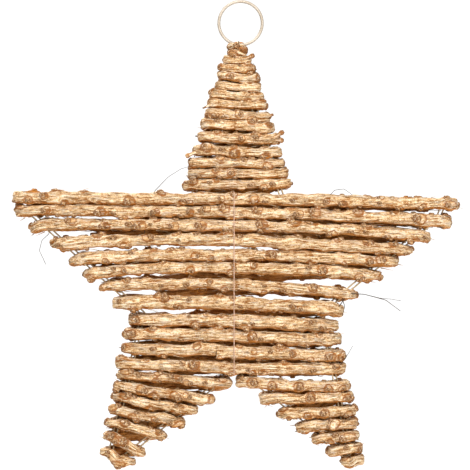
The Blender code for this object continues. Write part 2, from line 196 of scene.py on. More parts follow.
# In a CAD tube, vertices this close are one, faces this little turned lie in one plane, and the
# vertices of an end are this evenly far from its middle
WELD = 0.000001
FLAT = 0.001
ROUND = 0.01


def spread(corners):
    """Middle of some vertices, their mean distance from it, and how unlike those distances are."""
    points = [vertex.co for vertex in sorted(corners, key=lambda vertex: vertex.index)]
    middle = sum(points, Vector()) / len(points)
    spans = [(point - middle).length for point in points]
    mean = sum(spans) / len(spans)
    return middle, mean, (max(spans) - min(spans)) / mean


def flat_end(tube):
    """The vertices round one flat end of a welded tube."""
    for face in tube.faces:
        flat = {face}
        reached = [face]
        while reached:
            for edge in reached.pop().edges:
                for other in edge.link_faces:
                    if other not in flat and edge.calc_face_angle() < FLAT:
                        flat.add(other)
                        reached.append(other)
        corners = {vertex for each in flat for vertex in each.verts}
        uneven = spread(corners)[2]
        if len(flat) > 2 and uneven < ROUND:
            return corners
    raise ValueError("this tube has no flat end")


def centre_line(node):
    """Middle and radius of each ring of vertices along an open CAD tube, end to end."""
    tube = bmesh.new()
    tube.from_mesh(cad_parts[node].data)
    bmesh.ops.remove_doubles(tube, verts=tube.verts, dist=WELD)
    tube.verts.index_update()
    ring = flat_end(tube)
    seen = set(ring)
    line = []
    while ring:
        line.append(spread(ring)[:2])
        linked = {edge.other_vert(vertex) for vertex in ring for edge in vertex.link_edges}
        ring = linked - seen
        seen |= ring
    tube.free()
    return line


def drawn_out(line, extra):
    """An open line with both ends drawn out, to make up for what softening takes off them."""
    first, last = [point + (point - inner).normalized() * extra
                   for (point, _), (inner, _) in (line[:2], line[:-3:-1])]
    return [(first, line[0][1])] + line[1:-1] + [(last, line[-1][1])]


def line_object(name, lines, closed=False):
    """A curve object of polylines, each a list of (point, radius)."""
    curve = bpy.data.curves.new(name, "CURVE")
    curve.dimensions = "3D"
    for line in lines:
        spline = curve.splines.new("POLY")
        spline.points.add(len(line) - 1)
        for knot, (point, radius) in zip(spline.points, line):
            knot.co = (*point, 1.0)
            knot.radius = radius
        spline.use_cyclic_u = closed
    made = bpy.data.objects.new(name, curve)
    bpy.context.scene.collection.objects.link(made)
    return made


def new_tree(name, inputs):
    """A Geometry Nodes tree with named inputs, the start of its chain, and its inputs by name."""
    tree = bpy.data.node_groups.new(name, "GeometryNodeTree")
    for label, kind in inputs.items():
        tree.interface.new_socket(label, in_out="INPUT", socket_type=kind)
    tree.interface.new_socket("Mesh", in_out="OUTPUT", socket_type="NodeSocketGeometry")
    start = Wire(tree, tree.nodes.new("NodeGroupInput"))
    return tree, start, {label: start.out(i) for i, label in enumerate(inputs)}


def end_tree(start, geometry, finish):
    """Closes a tree: instances made real, the material set, and the mesh handed out."""
    real = start.node("GeometryNodeRealizeInstances", {}, {"Geometry": geometry})
    dressed = start.node("GeometryNodeSetMaterial", {}, {"Geometry": real, "Material": finish})
    start.node("NodeGroupOutput", {}, {0: dressed})


def grow(name, line, tree, values):
    """The mesh object that a tree makes along a line. The line itself is removed."""
    modifier = line.modifiers.new(tree.name, "NODES")
    modifier.node_group = tree
    for socket in tree.interface.items_tree:
        if socket.in_out == "INPUT" and socket.name in values:
            modifier[socket.identifier] = values[socket.name]
    evaluated = line.evaluated_get(bpy.context.evaluated_depsgraph_get())
    mesh = bpy.data.meshes.new_from_object(evaluated)
    bpy.data.objects.remove(line)
    while None in list(mesh.materials):
        mesh.materials.pop(index=list(mesh.materials).index(None))
    mesh.name = name
    piece = bpy.data.objects.new(name, mesh)
    bpy.context.scene.collection.objects.link(piece)
    return piece


# The kind of a stored value that is a vector; the others are plain numbers
VECTOR = "FLOAT_VECTOR"


def keep(start, geometry, name, value, kind="FLOAT"):
    """Stores a value on the points of a geometry under a name."""
    settings = {"data_type": kind, "domain": "POINT"}
    return start.node("GeometryNodeStoreNamedAttribute", settings,
                      {"Geometry": geometry, "Name": name, "Value": value})


def kept(start, name, kind="FLOAT"):
    return start.node("GeometryNodeInputNamedAttribute", {"data_type": kind}, {"Name": name})


def chance(start, low, high, which, seed):
    """A random number from low to high, the same for every point with the same which."""
    limits = {"Min_001": low, "Max_001": high, "ID": which, "Seed": seed}
    return start.node("FunctionNodeRandomValue", {"data_type": "FLOAT"}, limits, "Value_001")


def move(start, geometry, offset):
    return start.node("GeometryNodeSetPosition", {}, {"Geometry": geometry, "Offset": offset})


# Rounds of softening at a line's turns, what they take off each of its ends, and the scales of
# the noise that lets it wander and changes its girth
SOFTENING_ROUNDS = 2
SOFTENING_LOSS = 0.0013
WANDER_SCALE = 50.0
GIRTH_SCALE = 85.0


def soft_line(start, line, step, spacing, wander, girth_change, girth_shares=(1.0, 1.0)):
    """A line softened at its turns, left to wander, with its length kept as "run" and its radius
    as "girth". girth_shares are those of front runs and of back runs."""
    line = start.node("GeometryNodeResampleCurve", {"mode": "LENGTH"},
                      {"Curve": line, "Length": step})
    place = start.node("GeometryNodeInputPosition")
    soft = start.node("GeometryNodeBlurAttribute", {"data_type": VECTOR},
                      {"Value": place, "Iterations": SOFTENING_ROUNDS})
    girth = start.node("GeometryNodeInputRadius")
    even = start.node("GeometryNodeBlurAttribute", {"data_type": "FLOAT"},
                      {"Value": girth, "Iterations": 2 * SOFTENING_ROUNDS})
    line = start.node("GeometryNodeSetPosition", {}, {"Geometry": line, "Position": soft})
    line = start.node("GeometryNodeSetCurveRadius", {}, {"Curve": line, "Radius": even})
    line = start.node("GeometryNodeResampleCurve", {"mode": "LENGTH"},
                      {"Curve": line, "Length": spacing})
    run = start.node("GeometryNodeSplineParameter", output="Length")
    line = keep(start, line, "run", run)
    line = keep(start, line, "middle", place, VECTOR)
    shift = start.node("ShaderNodeTexNoise", {}, {"Vector": place, "Scale": WANDER_SCALE}, "Color")
    shift = start.vector_maths("SUBTRACT", shift, (0.5, 0.5, 0.5))
    line = move(start, line, shift.scaled(wander * 2.0))
    share = place.part("Y").step(-RUN_DEPTH, RUN_DEPTH, *girth_shares)
    change = (start.noise(place, GIRTH_SCALE, 2.0) - 0.5) * girth_change * 2.0 + share
    return keep(start, line, "girth", girth * change)


# Where painted shade and unsprayed brown start and are full, by how far the bark faces up and how
# far it faces out of the star: undersides get painted shade, and inner sides get the brown of bark
# the spray did not reach, with painted shade where they show between the rows
SHADED_UNDERSIDE = (-0.50, -1.00)
INNER_SIDE = (-0.05, -0.75)


def unsprayed_and_painted_shade(start):
    """How far a part of a vine is painted dark: undersides, as painted shade, and the inside of
    the star on front and back runs, as bark the spray did not reach and painted shade between the
    rows."""
    outward = start.node("GeometryNodeInputNormal")
    side = kept(start, "middle", VECTOR).part("Y") / RUN_DEPTH
    side = start.maths("MINIMUM", start.maths("MAXIMUM", side, -1.0), 1.0)
    inside = (outward.part("Y") * side).step(*INNER_SIDE)
    # Painted shade: the downward side of every rod and knob is darkened, standing for the shade
    # below it
    painted_shade_under = outward.part("Z").step(*SHADED_UNDERSIDE)
    return start.maths("MAXIMUM", start.maths("MAXIMUM", inside, painted_shade_under), kept(start, "loose"))


def tube_round(start, line, sides):
    """A tube of the line's girth, with each point's angle round the line kept as "turn"."""
    circle = start.node("GeometryNodeCurvePrimitiveCircle", {}, {
        "Resolution": sides, "Radius": 1.0})
    index = start.node("GeometryNodeInputIndex")
    circle = keep(start, circle, "turn", index * TURN / sides)
    return start.node("GeometryNodeCurveToMesh", {}, {
        "Curve": line, "Profile Curve": circle, "Scale": kept(start, "girth"), "Fill Caps": True})


# The knobs: their radius, how proud they stand in radii, where they may be in their stretch of
# vine, their width for their length, and the spacing of a second chain of them for the first's
BUD_RADIUS = (0.0015, 0.0030)
BUD_RISE = (-0.30, 0.35)
BUD_PLAY = (0.2, 0.8)
BUD_WIDTH = 0.92
SECOND_BUD_SPACING = 1.37
# What each kind of knob and splinter adds to its vine's seed
SEED_OF = {"second buds": 10, "slivers": 20, "bend buds": 30, "small buds": 40}


def bud_traits(start, which, spacing, seed):
    """A bud's place along the vine, its angle round it, its radius, and how proud it stands."""
    along = (which + chance(start, *BUD_PLAY, which, seed)) * spacing
    side = chance(start, 0.0, TURN, which, seed + 1)
    size = chance(start, *BUD_RADIUS, which, seed + 2)
    rise = chance(start, *BUD_RISE, which, seed + 3)
    return along, side, size, rise


def near_bud(start, spacing, seed):
    """How far a point of the bark is from its bud, in the bud's own radii, and how far round the
    vine it is from it."""
    run = kept(start, "run")
    which = start.maths("FLOOR", run / spacing)
    centre, side, size, _ = bud_traits(start, which, spacing, seed)
    along = run - centre
    around = start.maths("WRAP", kept(start, "turn") - side, math.pi, -math.pi)
    across = around * kept(start, "girth")
    return start.maths("SQRT", along * along + across * across) / size, around


def on_line(start, line, along, side):
    """Middle, girth, heading and outward direction of a line at a length and an angle."""
    at = start.node("GeometryNodeSampleCurve", {"mode": "LENGTH"}, {
        "Curves": line, "Value": kept(start, "girth"), "Length": along})
    heading, normal = at.out("Tangent"), at.out("Normal")
    across = start.vector_maths("CROSS_PRODUCT", heading, normal)
    outward = start.vector_maths("ADD", normal.scaled(start.maths("COSINE", side)),
                                 across.scaled(start.maths("SINE", side)))
    return at.out("Position"), at.out("Value"), heading, outward


def upright_on(start, outward, heading):
    """A turn that sets Z outward and X along a line."""
    axes = {"primary_axis": "Z", "secondary_axis": "X"}
    return start.node("FunctionNodeAxesToRotation", axes, {
        "Primary Axis": outward, "Secondary Axis": heading})


def set_on_line(start, line, shape, spacing, traits):
    """One copy of a shape to each spacing of a line, standing on the bark with Z outward. traits
    gives, for a copy's number, its place along, angle, size vector, rise and lift."""
    length = start.node("GeometryNodeCurveLength", {}, {"Curve": line})
    count = start.maths("FLOOR", length / spacing)
    which = start.node("GeometryNodeInputIndex")
    along, side, size, rise, lift = traits(which)
    middle, girth, heading, outward = on_line(start, line, along, side)
    place = start.vector_maths("ADD", middle, outward.scaled(girth + rise))
    points = start.node("GeometryNodePoints", {}, {"Count": count, "Position": place})
    points = keep(start, points, "middle", middle, VECTOR)
    tilt = start.node("FunctionNodeAxisAngleToRotation", {}, {
        "Axis": (0.0, 1.0, 0.0), "Angle": lift})
    turned = start.node("FunctionNodeRotateRotation", {"rotation_space": "LOCAL"}, {
        "Rotation": upright_on(start, outward, heading), "Rotate By": tilt})
    return start.node("GeometryNodeInstanceOnPoints", {}, {
        "Points": points, "Instance": shape, "Rotation": turned, "Scale": size})


# A knob's shape, in radii: its underside, its pit's width, floor and depth, and its lumps. The
# grain on a knob or a splinter is drawn at a scale of its own.
KNOB_UNDERSIDE = (0.2, -0.2)
PIT_WIDTH = (0.62, 0.15)
PIT_FLOOR = (0.0, 0.4)
PIT_DEPTH = -0.22
KNOB_LUMP_SCALE = 1.4
KNOB_LUMPS = 0.8
KNOB_GRAIN = 0.002


def bud_shape(start, segments=12, rings=8):
    """A bud scar of radius 1: a lumpy knob with a shallow pit, "bud" going from 0 to 1 outward."""
    ball = start.node("GeometryNodeMeshUVSphere", {}, {
        "Segments": segments, "Rings": rings, "Radius": 1.0})
    place = start.node("GeometryNodeInputPosition")
    x, y, z = (place.part(axis) for axis in "XYZ")
    out = start.maths("SQRT", x * x + y * y)
    ball = keep(start, ball, "bud", out + z.step(*KNOB_UNDERSIDE))
    ball = keep(start, ball, "grain", place.scaled(KNOB_GRAIN), VECTOR)
    pit = out.step(*PIT_WIDTH) * z.step(*PIT_FLOOR) * PIT_DEPTH
    ball = move(start, ball, start.vector(0.0, 0.0, pit))
    lumps = (start.noise(place, KNOB_LUMP_SCALE, 1.0) - 0.5) * KNOB_LUMPS
    ball = move(start, ball, place.scaled(lumps))
    return start.node("GeometryNodeSetShadeSmooth", {}, {"Geometry": ball})


def add_buds(start, line, spacing, seed):
    """The knobs of one chain of buds."""
    def traits(which):
        along, side, size, rise = bud_traits(start, which, spacing, seed)
        scale = start.vector(size, size * BUD_WIDTH, size)
        return along, side, scale, rise * size, 0.0
    return set_on_line(start, line, bud_shape(start), spacing, traits)


# The small knobs: their spacing for the large ones', their radius, length for their width, place
# in their stretch of vine, and the ball that they are made from
SMALL_BUD_SPACING = 0.74
SMALL_BUD_RADIUS = (0.0009, 0.0018)
SMALL_BUD_LENGTH = 1.5
SMALL_BUD_PLAY = (0.1, 0.9)
SMALL_BUD_SEGMENTS = 8
SMALL_BUD_RINGS = 5


def add_small_buds(start, line, spacing, seed):
    """Small long knobs between the larger ones, some of them bridging the gap to the next row."""
    def traits(which):
        along = (which + chance(start, *SMALL_BUD_PLAY, which, seed)) * spacing
        side = chance(start, 0.0, TURN, which, seed + 1)
        size = chance(start, *SMALL_BUD_RADIUS, which, seed + 2)
        return along, side, start.vector(size * SMALL_BUD_LENGTH, size, size), 0.0, 0.0
    shape = bud_shape(start, SMALL_BUD_SEGMENTS, SMALL_BUD_RINGS)
    return set_on_line(start, line, shape, spacing, traits)


# The knobs on bends: rounds of softening that find a bend's inner side, how near the star's plane
# a bend's middle lies, the knobs' swing about the vine, their rise in radii, and how many bends
# have one
BEND_ROUNDS = 16
BEND_REACH = 0.0003
BEND_SWING = (-1.2, 1.2)
BEND_RISE = (-0.85, -0.15)
BEND_SHARE = 0.75


def add_bend_buds(start, line, seed):
    """Knobs on the outside of the bends, where the vine broke open as it was bent."""
    middle = kept(start, "middle", VECTOR)
    inner = start.node("GeometryNodeBlurAttribute", {"data_type": VECTOR},
                       {"Value": middle, "Iterations": BEND_ROUNDS})
    outward = start.vector_maths("NORMALIZE", start.vector_maths("SUBTRACT", middle, inner))
    heading = start.node("GeometryNodeInputTangent")
    index = start.node("GeometryNodeInputIndex")
    outward = start.node("ShaderNodeVectorRotate", {"rotation_type": "AXIS_ANGLE"}, {
        "Vector": outward, "Axis": heading, "Angle": chance(start, *BEND_SWING, index, seed)})
    size = chance(start, *BUD_RADIUS, index, seed + 1)
    rise = kept(start, "girth") + size * chance(start, *BEND_RISE, index, seed + 2)
    at_bend = start.maths("LESS_THAN", start.maths("ABSOLUTE", middle.part("Y")), BEND_REACH)
    drawn = chance(start, 0.0, 1.0, index, seed + 3)
    chosen = at_bend * start.maths("LESS_THAN", drawn, BEND_SHARE)
    points = keep(start, line, "outward", outward, VECTOR)
    points = keep(start, points, "heading", heading, VECTOR)
    points = move(start, points, outward.scaled(rise))
    upright = upright_on(start, kept(start, "outward", VECTOR),
                         kept(start, "heading", VECTOR))
    return start.node("GeometryNodeInstanceOnPoints", {}, {
        "Points": points, "Selection": chosen, "Instance": bud_shape(start), "Rotation": upright,
        "Scale": start.vector(size, size, size)})


# Splinters: their sides and tip, length, width, thickness for their width, rise off the bark, and
# lift at one end in radians. On bark far from any bud, "bud" is NO_BUD.
SLIVER_SIDES = 5
SLIVER_TIP = 0.08
SLIVER_LENGTH = (0.003, 0.0085)
SLIVER_WIDTH = (0.0005, 0.0011)
SLIVER_FLATNESS = 0.6
SLIVER_RISE = 0.0004
SLIVER_LIFT = (-0.30, 0.05)
NO_BUD = 3.0


def sliver_shape(start):
    """A splinter of bark of length 1 along X and width 1, thin and pointed."""
    cone = start.node("GeometryNodeMeshCone", {}, {
        "Vertices": SLIVER_SIDES, "Radius Top": SLIVER_TIP, "Radius Bottom": 0.5, "Depth": 1.0})
    laid = start.node("GeometryNodeTransform", {}, {
        "Geometry": cone, "Rotation": (0.0, TURN / 4.0, 0.0)})
    place = start.node("GeometryNodeInputPosition")
    laid = keep(start, laid, "grain", place.scaled(KNOB_GRAIN), VECTOR)
    return keep(start, laid, "bud", NO_BUD)


def add_slivers(start, line, spacing, seed):
    """Splinters of loose bark, rooted on the vine and lifted a little at one end."""
    def traits(which):
        along = (which + chance(start, 0.0, 1.0, which, seed)) * spacing
        side = chance(start, 0.0, TURN, which, seed + 1)
        long = chance(start, *SLIVER_LENGTH, which, seed + 2)
        wide = chance(start, *SLIVER_WIDTH, which, seed + 3)
        lift = chance(start, *SLIVER_LIFT, which, seed + 4)
        return along, side, start.vector(long, wide, wide * SLIVER_FLATNESS), SLIVER_RISE, lift
    return set_on_line(start, line, sliver_shape(start), spacing, traits)


# A bend's squareness: the power of its rounded square, and where it starts, in run depths
BLUNTNESS = 3.6
BLUNT_FROM = 0.3


def blunt_bend(start):
    """How far the skin stands out where a bend is squared off, in shares of the girth."""
    across = kept(start, "middle", VECTOR).part("Y")
    at_bend = start.maths("ABSOLUTE", across).step(RUN_DEPTH, BLUNT_FROM * RUN_DEPTH)
    upward = start.node("GeometryNodeInputNormal").part("Z")
    level = start.maths("SQRT", start.maths("MAXIMUM", 1.0 - upward * upward, 0.0))
    corner = start.maths("ABSOLUTE", upward) ** BLUNTNESS + level ** BLUNTNESS
    return at_bend * (corner ** (-1.0 / BLUNTNESS) - 1.0)


# The bark: the scales of its fibres, furrows and lumps, a furrow's width, how far the fibres and
# the lumps are drawn out along the vine, and the twist of the fibres in radians a metre
FIBRES = 1100.0
FURROWS = 470.0
LUMPS = 170.0
FURROW_WIDTH = 0.10
FIBRE_STRETCH = 0.060
LUMP_STRETCH = 0.4
FIBRE_TWIST = 9.0
# Round a bud, in its radii: where the fibres start to part and part fully, by how much they part,
# and where the bark starts to swell and swells fully
PARTING_REACH = (2.2, 0.6)
PARTING = 0.45
SWELLING_REACH = (2.4, 0.7)


def round_vine(start, along, angle, radius):
    """A place for a pattern that runs along a vine and closes round it."""
    return start.vector(along, radius * start.maths("COSINE", angle),
                        radius * start.maths("SINE", angle))


def bark_relief(start, wanted):
    """The bark's grain, its distance from the nearest bud, and how far its skin stands out."""
    run, turn, girth = (kept(start, name) for name in ("run", "turn", "girth"))
    spacing, seed = wanted["Bud spacing"], wanted["Seed"]
    buds = [near_bud(start, spacing, seed),
            near_bud(start, spacing * SECOND_BUD_SPACING, seed + SEED_OF["second buds"])]
    twisted = turn + run * FIBRE_TWIST
    swelling = 0.0
    for distance, around in buds:
        twisted = twisted - around * distance.step(*PARTING_REACH) * PARTING
        swelling = distance.step(*SWELLING_REACH) + swelling
    grain = round_vine(start, run * FIBRE_STRETCH, twisted, girth)
    lumps = start.noise(round_vine(start, run * LUMP_STRETCH, turn, girth), LUMPS, 2.0) - 0.5
    fibres = start.noise(grain, FIBRES, 2.0, 0.6) - 0.5
    furrows = start.lines(grain, FURROWS, FURROW_WIDTH)
    rise = fibres * wanted["Fibre height"] * 2.0 + (furrows - 1.0) * wanted["Furrow depth"]
    rise = rise + lumps * wanted["Lump height"] + swelling * wanted["Swelling"]
    rise = rise + blunt_bend(start) * girth
    return grain, start.maths("MINIMUM", buds[0][0], buds[1][0]), rise


# Twigs and fibres: the steps of their lines, their wander, change of girth and sides, the girths
# between which a fibre becomes a twig, where along a twig its knob starts, and the knob's "bud"
STRAND_STEP = 0.0004
STRAND_SPACING = 0.0005
STRAND_WANDER = 0.0003
STRAND_GIRTH_CHANGE = 0.3
STRAND_SIDES = 8
FIBRE_TO_TWIG = (0.0004, 0.0008)
TWIG_KNOB_FROM = (0.66, 0.74)
TWIG_KNOB = 0.9


def strands(start, wanted):
    """The side twigs and loose fibres, given as a second object of lines."""
    lines = start.node("GeometryNodeObjectInfo", {}, {"Object": wanted["Strands"]}, "Geometry")
    line = soft_line(start, lines, STRAND_STEP, STRAND_SPACING, STRAND_WANDER,
                     STRAND_GIRTH_CHANGE)
    line = keep(start, line, "share", start.node("GeometryNodeSplineParameter"))
    skin = tube_round(start, line, STRAND_SIDES)
    grain = round_vine(start, kept(start, "run") * FIBRE_STRETCH, kept(start, "turn"), MM)
    skin = keep(start, skin, "grain", grain, VECTOR)
    knob = kept(start, "share").step(*TWIG_KNOB_FROM) * kept(start, "girth").step(*FIBRE_TO_TWIG)
    skin = keep(start, skin, "bud", knob.step(0.0, 1.0, NO_BUD, TWIG_KNOB))
    skin = keep(start, skin, "loose", kept(start, "girth").step(*reversed(FIBRE_TO_TWIG)))
    return start.node("GeometryNodeSetShadeSmooth", {}, {"Geometry": skin})


def vine_tree():
    """Node tree that turns a vine's line into its barked surface, with its knobs and splinters."""
    inputs = {"Line": "NodeSocketGeometry", "Strands": "NodeSocketObject",
              "Bark": "NodeSocketMaterial", "Sides": "NodeSocketInt", "Seed": "NodeSocketInt",
              "Front girth": "NodeSocketFloat", "Back girth": "NodeSocketFloat"}
    inputs.update({label: "NodeSocketFloat" for label in VINE_SIZES if label not in inputs})
    tree, start, wanted = new_tree("knotty vine", inputs)
    line = soft_line(start, wanted["Line"], wanted["Softening step"], wanted["Ring spacing"],
                     wanted["Wander"], wanted["Girth change"],
                     (wanted["Front girth"], wanted["Back girth"]))
    skin = tube_round(start, line, wanted["Sides"])
    grain, bud, rise = bark_relief(start, wanted)
    skin = keep(start, skin, "grain", grain, VECTOR)
    skin = keep(start, skin, "bud", bud)
    normal = start.node("GeometryNodeInputNormal")
    skin = move(start, skin, normal.scaled(rise))
    skin = start.node("GeometryNodeSetShadeSmooth", {}, {"Geometry": skin})
    spacing, seed = wanted["Bud spacing"], wanted["Seed"]
    second, small = spacing * SECOND_BUD_SPACING, spacing * SMALL_BUD_SPACING
    parts = [skin, add_buds(start, line, spacing, seed),
             add_buds(start, line, second, seed + SEED_OF["second buds"]),
             add_small_buds(start, line, small, seed + SEED_OF["small buds"]),
             add_bend_buds(start, line, seed + SEED_OF["bend buds"]),
             add_slivers(start, line, wanted["Sliver spacing"], seed + SEED_OF["slivers"]),
             strands(start, wanted)]
    whole = start.node("GeometryNodeJoinGeometry", {}, {0: parts})
    whole = start.node("GeometryNodeRealizeInstances", {}, {"Geometry": whole})
    # This mask holds painted shade on downward sides and between the rows, and unsprayed brown on
    # the inner sides
    end_tree(start, keep(start, whole, "bare", unsprayed_and_painted_shade(start)), wanted["Bark"])
    return tree


def new_material(name):
    """A material with a Principled shader, and the start of its chain of nodes."""
    made = bpy.data.materials.new(name)
    made.use_nodes = True
    return made, Wire(made.node_tree, made.node_tree.nodes["Principled BSDF"])


def set_shader(start, **values):
    """Sets the Principled shader's own sockets, or links them."""
    for name, value in values.items():
        target = start.made.inputs[name.replace("_", " ")]
        if isinstance(value, Wire):
            start.tree.links.new(value.socket, target)
        else:
            target.default_value = value


def attribute(start, name, output="Fac"):
    return start.node("ShaderNodeAttribute", {"attribute_name": name}, {}, output)


def bump(start, height, distance, below=None):
    """A bump of that height in metres, over the bump below it."""
    inputs = {"Height": height, "Distance": distance}
    if below:
        inputs["Normal"] = below
    return start.node("ShaderNodeBump", {}, inputs)


# Patterns in the gilding: what each one follows, its noise's scale, detail and roughness, and its
# share in how light the gold is. The short grain is the grain drawn out less along the vine.
PATTERNS = (
    ("streaks", "grain", FIBRES, 2.0, 0.60, 1.5),
    ("tone", "grain", 380.0, 3.0, 0.65, 0.9),
    ("fine", "grain", 2200.0, 3.0, 0.65, 1.6),
    ("flakes", "short grain", 1000.0, 2.0, 0.65, 2.4),
    ("patches", "place", 60.0, 3.0, 0.60, 0.9),
    ("blotches", "place", 210.0, 2.0, 0.60, 1.1),
    ("specks", "place", 1150.0, 3.0, 0.70, 1.7),
)
SHORT_GRAIN = (4.0, 1.0, 1.0)
# Width of the dark lines in the furrows, partly painted shade where the relief has its furrows
FURROW_SHADE_WIDTH = 0.07

# The gilding's colours, and the lightness at which straw and pale gold start and are full
GROOVE = (0.270, 0.075, 0.006, 1.0)
BARK = (0.490, 0.264, 0.108, 1.0)
STRAW = (0.825, 0.580, 0.322, 1.0)
PALE = (0.945, 0.796, 0.600, 1.0)
# Near white, for painted glints and sparks
PAINTED_GLINT = (1.0, 0.93, 0.80, 1.0)
STRAW_AT = (-0.42, 0.05)
PALE_AT = (0.08, 0.55)
# Its painted sparks, bright specks standing for glints, and its dark marks: where each starts and
# is full, and how strong it is
PAINTED_SPARKS_AT, PAINTED_SPARKS = (0.59, 0.68), 0.55
PITS_AT, PITS = (0.41, 0.33), 0.50
CRACKED_AT, CRACKED = (0.40, 0.62), 0.42
STREAKS_AT, STREAKS = (-0.30, -0.62), 0.60
# The furrows' darkening is partly unsprayed brown and partly painted shade, following the relief's
# furrows
FURROW_SHADE = 0.40
DARKEST = 0.92
CRACKS, CRACK_WIDTH = 1000.0, 0.05


def gilding(start, grain, drawn, level, furrows):
    """Gold sprayed on bark: pale on the fibres, brown in the furrows, partly as painted shade, and
    in cracks and pits, with painted sparks.
    """
    cracks = start.lines(grain, CRACKS, CRACK_WIDTH)
    colour = start.blend(level.step(*STRAW_AT), BARK, STRAW)
    colour = start.blend(level.step(*PALE_AT), colour, PALE)
    colour = start.blend(drawn["specks"].step(*PAINTED_SPARKS_AT) * PAINTED_SPARKS, colour, PAINTED_GLINT)
    dark = drawn["specks"].step(*PITS_AT) * PITS + (1.0 - furrows) * FURROW_SHADE
    dark = dark + (1.0 - cracks) * drawn["patches"].step(*CRACKED_AT) * CRACKED
    dark = dark + level.step(*STREAKS_AT) * STREAKS
    return start.blend(start.maths("MINIMUM", dark, DARKEST), colour, GROOVE)


# A knob's colours, its edge and how ragged that is. Brown shows between its specks, its heart is
# dark in places, some of its fibres are pale as painted highlights, and a ring of painted shade
# edges it where it meets the bark.
KNOB_RIM = (0.520, 0.285, 0.115, 1.0)
KNOB_HEART = (0.230, 0.085, 0.024, 1.0)
KNOB_EDGE = (1.12, 0.98)
RAGGED_SCALE, RAGGED, RAGGED_FINE = 700.0, 0.7, 0.5
BROWN_AT = (0.62, 0.42, 0.25, 0.95)
HEART_AT, HEART = (0.56, 0.44), 0.90
PAINTED_KNOB_HIGHLIGHTS_AT, PAINTED_KNOB_HIGHLIGHTS = (0.54, 0.66), 0.80
RING_SHADE_FROM, RING_SHADE_TO, RING_SHADE = (0.86, 1.04), (1.45, 1.15), 0.80


def coloured_knobs(start, colour, place, drawn):
    """The same bark with its knobs browner, pale flecks on them as painted highlights, and a ring
    of painted shade round each where it meets the bark.
    """
    ragged = start.noise(place, RAGGED_SCALE, 2.0) - 0.5
    edge = attribute(start, "bud") + (drawn["fine"] - 0.5) * RAGGED_FINE + ragged * RAGGED
    knob = edge.step(*KNOB_EDGE)
    colour = start.blend(knob * drawn["specks"].step(*BROWN_AT), colour, KNOB_RIM)
    colour = start.blend(knob * drawn["tone"].step(*HEART_AT) * HEART, colour, KNOB_HEART)
    # Painted highlights: pale flecks on the knobs
    pale = knob * drawn["fine"].step(*PAINTED_KNOB_HIGHLIGHTS_AT) * PAINTED_KNOB_HIGHLIGHTS
    colour = start.blend(pale, colour, PALE)
    # Painted shade in the crease where the knob meets the bark
    ring = edge.step(*RING_SHADE_FROM) * edge.step(*RING_SHADE_TO) * RING_SHADE
    return start.blend(ring, colour, GROOVE)


# Painted glints, bright dots standing for highlights in some patches: their scale, size, patches
# and strength
GLINT_SCALE = 900.0
GLINT_SIZE = (0.16, 0.08)
GLINT_AT, PAINTED_GLINTS = (0.50, 0.62), 0.80
# Painted shade on downward sides and between the rows, over the unsprayed brown of the inner
# sides:
# the bark's colours there, the ragged border, how strongly it covers the gold, and where it turns
# lighter
UNSPRAYED_SHADED = (0.610, 0.235, 0.045, 1.0)
UNSPRAYED_DEEP_SHADED = (0.380, 0.108, 0.012, 1.0)
DRY_FIBRE = (0.110, 0.070, 0.045, 1.0)
BORDER = 0.8
BARE_AND_SHADED_AT, BARE_AND_SHADED_SHARE = (0.15, 0.75), 0.88
INSIDE_FURROWS, INSIDE_AT = -0.3, (-0.65, 0.15)
# Relief finer than the mesh, in metres, and the gloss: how metallic and how rough the gold is
# from its dark to its light parts, and its sheen
FURROW_BUMP = 0.0005
FINE_BUMP = 0.0006
METAL_AT = (-0.3, 0.4, 0.05, 0.35)
ROUGH_FROM_DARK = (0.3, 0.7, 0.60, 0.40)
SHEEN = (0.95, 0.70, 0.42, 1.0)
SHEEN_LEVEL = 0.10


def gilded_bark():
    """Dried bark sprayed pale gold: bright on the fibres, brown where the spray did not reach,
    with painted shade on undersides and between the rows, and painted glints and highlights.
    """
    made, start = new_material("gilded_bark")
    grain = attribute(start, "grain", "Vector")
    place = start.node("ShaderNodeTexCoord", output="Object")
    follows = {"grain": grain, "place": place,
               "short grain": start.vector_maths("MULTIPLY", grain, SHORT_GRAIN)}
    drawn = {name: start.noise(follows[what], *noise) for name, what, *noise, _ in PATTERNS}
    level = sum((drawn[name] - 0.5) * share for name, *_, share in PATTERNS)
    furrows = start.lines(grain, FURROWS, FURROW_SHADE_WIDTH)

    colour = gilding(start, grain, drawn, level, furrows)
    colour = coloured_knobs(start, colour, place, drawn)
    painted_glints = start.node("ShaderNodeTexVoronoi", {}, {"Vector": place, "Scale": GLINT_SCALE})
    painted_glints = painted_glints.step(*GLINT_SIZE) * drawn["patches"].step(*GLINT_AT) * PAINTED_GLINTS
    colour = start.blend(painted_glints, colour, PAINTED_GLINT)
    # Painted shade on downward sides and between the rows, over the unsprayed brown of the inner
    # sides
    unsprayed_and_shaded = attribute(start, "bare") + (drawn["patches"] - 0.5) * BORDER
    unsprayed_and_shaded = unsprayed_and_shaded.step(*BARE_AND_SHADED_AT) * BARE_AND_SHADED_SHARE
    inside = (level + (1.0 - furrows) * INSIDE_FURROWS).step(*INSIDE_AT)
    colour = start.blend(unsprayed_and_shaded, colour, start.blend(inside, UNSPRAYED_DEEP_SHADED, UNSPRAYED_SHADED))
    colour = start.blend(attribute(start, "loose"), colour, DRY_FIBRE)

    normal = bump(start, furrows, FURROW_BUMP)
    for name in ("fine", "specks", "streaks"):
        normal = bump(start, drawn[name], FINE_BUMP, normal)
    set_shader(start, Base_Color=colour, Metallic=level.step(*METAL_AT) * (1.0 - unsprayed_and_shaded),
               Roughness=drawn["fine"].step(*ROUGH_FROM_DARK), Normal=normal,
               Specular_IOR_Level=SHEEN_LEVEL, Specular_Tint=SHEEN)
    return made


